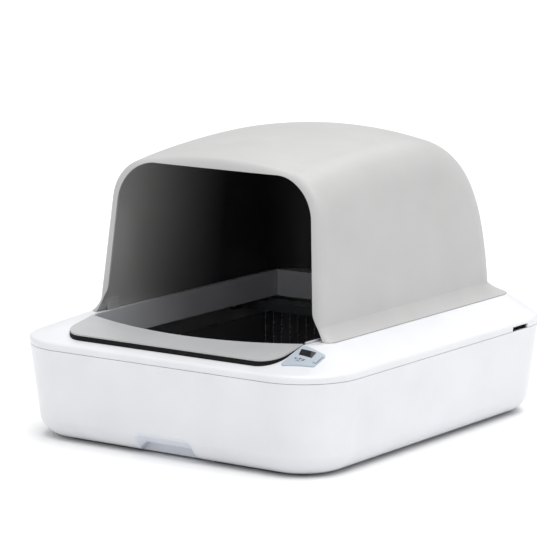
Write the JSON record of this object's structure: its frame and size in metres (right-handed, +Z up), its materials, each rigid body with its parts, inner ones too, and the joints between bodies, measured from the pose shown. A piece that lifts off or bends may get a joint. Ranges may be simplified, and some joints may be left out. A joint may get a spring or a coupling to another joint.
{
  "type": "cat litter box with hood",
  "caption": "Raking cat litter box: lift-off housing over a tray, hinged waste lid, motor-driven rake, control panel and a lift-off hood.",
  "frame": {"origin": "on the floor, under the middle of the housing", "axes": "+X to the right seen from the front, +Y from the doorway to the back, +Z up"},
  "size_m": [0.4792, 0.5503, 0.373],
  "materials": {
    "tray_plastic": "satin moulded polypropylene",
    "white_shell": "satin white moulded plastic",
    "white_cover": "satin white moulded plastic",
    "grip_plastic": "fine matt moulded plastic",
    "foot_rubber": "soft matt rubber",
    "lid_plastic": "satin light grey plastic",
    "pin_steel": "ground steel",
    "gasket_rubber": "matt black rubber",
    "liner_plastic": "fine matt grey plastic",
    "bearing_plastic": "natural acetal",
    "rod_steel": "ground and rolled steel",
    "gear_plastic": "natural acetal",
    "gearbox_plastic": "black glass filled plastic",
    "motor_can": "zinc plated can",
    "rake_plastic": "dark grey moulded plastic",
    "tine_steel": "polished stainless wire",
    "nut_brass": "turned brass",
    "circuit_board": "green solder mask",
    "switch_plastic": "black moulded plastic",
    "sensor_plastic": "dark window over a black body",
    "panel_plastic": "satin pale blue grey plastic",
    "display_lens": "smoked gloss window",
    "button_plastic": "satin pale blue grey plastic",
    "screw_steel": "zinc plated steel",
    "hood_plastic": "satin light grey moulded plastic",
    "latch_plastic": "satin light grey plastic"
  },
  "bodies": {
    "tray": {"litter_tray": "tray_plastic"},
    "housing": {"lower_shell": "white_shell", "grip_pocket": "grip_plastic", "feet": "foot_rubber", "top_cover": "white_cover", "lid_gasket": "gasket_rubber", "side_rail_left": "liner_plastic", "side_rail_right": "liner_plastic", "rear_liner": "liner_plastic", "screw_bearings": "bearing_plastic", "guide_rod_blocks": "bearing_plastic", "guide_rod": "rod_steel", "gearbox_case": "gearbox_plastic", "drive_motor": "motor_can", "control_board": "circuit_board", "limit_switches": "switch_plastic", "power_inlet": "switch_plastic", "entry_sensor": "sensor_plastic", "control_panel": "panel_plastic", "display_lens": "display_lens", "button_switch": "switch_plastic", "display_board": "circuit_board", "cover_screws": "screw_steel"},
    "waste_lid": {"waste_lid": "lid_plastic", "lid_hinge_pins": "pin_steel"},
    "rake": {"rake_beam": "rake_plastic", "rake_tines": "tine_steel", "screw_nut": "nut_brass", "guide_bush": "bearing_plastic"},
    "lead_screw": {"lead_screw": "rod_steel", "screw_gear": "gear_plastic"},
    "pinion": {"motor_pinion": "gear_plastic", "output_shaft": "pin_steel"},
    "button": {"control_button": "button_plastic"},
    "hood": {"hood_shell": "hood_plastic", "hood_latch_left": "latch_plastic", "hood_latch_right": "latch_plastic"}
  },
  "joints": [
    {"name": "housing_lift", "type": "slide", "parent": "tray", "child": "housing", "axis": [0, 0, 1], "range_m": [0, 0.12]},
    {"name": "hood_lift", "type": "slide", "parent": "housing", "child": "hood", "axis": [0, 0, 1], "range_m": [0, 0.15]},
    {"name": "waste_lid_hinge", "type": "hinge", "parent": "housing", "child": "waste_lid", "pos_m": [0, -0.1985, 0.1449], "axis": [-1, 0, 0], "range_deg": [0, 90]},
    {"name": "rake_travel", "type": "slide", "parent": "housing", "child": "rake", "axis": [0, -1, 0], "range_m": [0, 0.33]},
    {"name": "screw_turn", "type": "hinge", "parent": "housing", "child": "lead_screw", "pos_m": [0.205, 0, 0.108], "axis": [0, 1, 0], "continuous": true},
    {"name": "pinion_turn", "type": "hinge", "parent": "housing", "child": "pinion", "pos_m": [0.1802, 0.2285, 0.108], "axis": [0, 1, 0], "continuous": true},
    {"name": "button_press", "type": "slide", "parent": "housing", "child": "button", "axis": [0, 0, -1], "range_m": [0, 0.0012], "stiffness_N_per_m": 500, "springref_m": -0.0004}
  ],
  "couplings": [
    {"joint": "screw_turn", "follows": "rake_travel", "rad_per_m": 261.8},
    {"joint": "pinion_turn", "follows": "rake_travel", "rad_per_m": -639.95}
  ]
}
